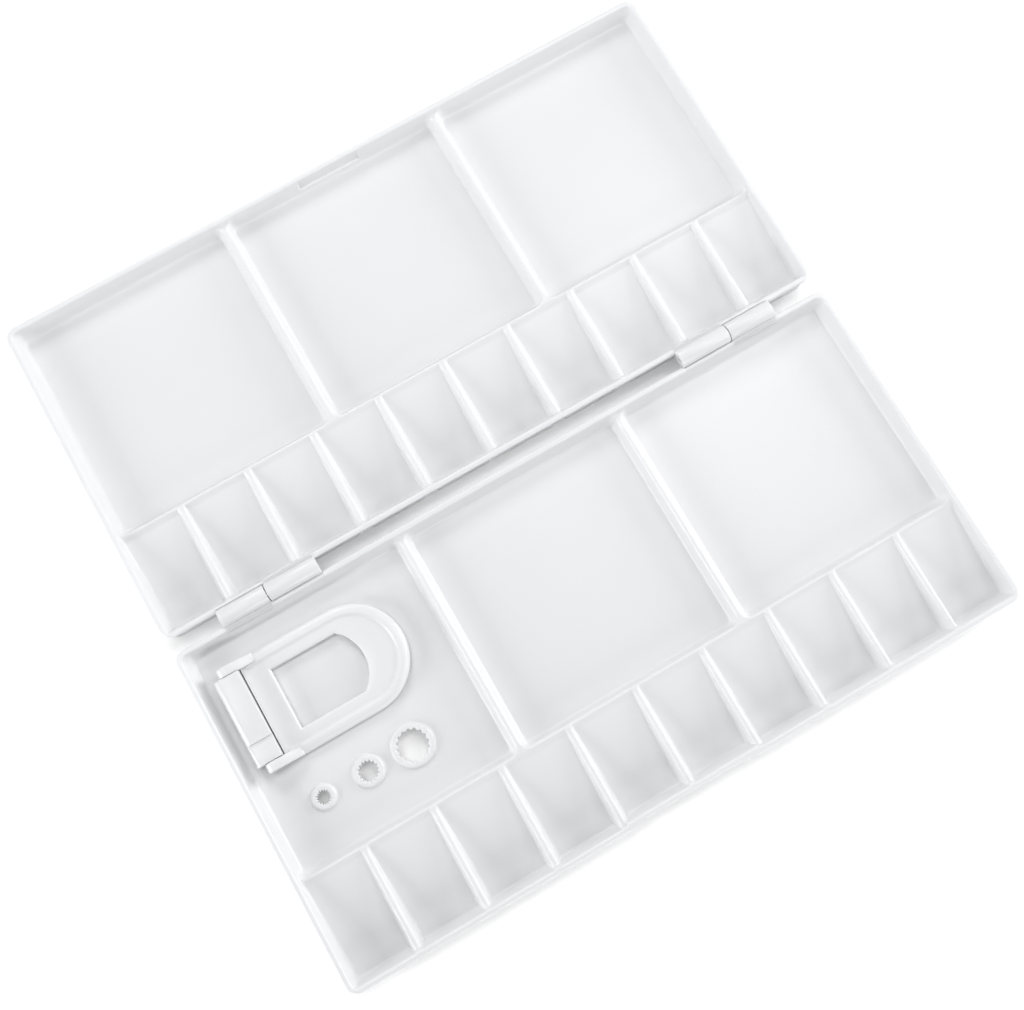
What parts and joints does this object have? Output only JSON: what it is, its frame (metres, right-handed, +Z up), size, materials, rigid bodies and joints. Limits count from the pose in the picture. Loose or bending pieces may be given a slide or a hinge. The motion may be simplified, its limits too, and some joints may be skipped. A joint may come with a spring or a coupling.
{
  "type": "folding paint palette",
  "caption": "Folding white plastic paint palette: two shallow trays with paint wells and mixing areas, pin hinges, a swing-out thumb ring and brush holes.",
  "frame": {"origin": "on the table plane, under the middle of the hinge line between the two trays", "axes": "+X along the hinge line, +Y towards the lid tray, +Z up"},
  "size_m": [0.26, 0.2588, 0.0132],
  "materials": {
    "tray_plastic": "smooth glossy white moulding",
    "ring_plastic": "smooth glossy white moulding",
    "pin_steel": "drawn wire"
  },
  "bodies": {
    "base": {"lower_tray": "tray_plastic", "ring_bar": "ring_plastic", "left_hinge_pin": "pin_steel", "right_hinge_pin": "pin_steel", "ring_pivot_pin": "pin_steel"},
    "lid": {"upper_tray": "tray_plastic"},
    "ring": {"thumb_ring": "ring_plastic"}
  },
  "joints": [
    {"name": "lid_fold", "type": "hinge", "parent": "base", "child": "lid", "pos_m": [0, 0, 0.01], "axis": [1, 0, 0], "range_deg": [0, 160]},
    {"name": "thumb_ring_swing", "type": "hinge", "parent": "base", "child": "ring", "pos_m": [-0.117, -0.0341, 0.0075], "axis": [0, -1, 0], "range_deg": [0, 165]}
  ]
}
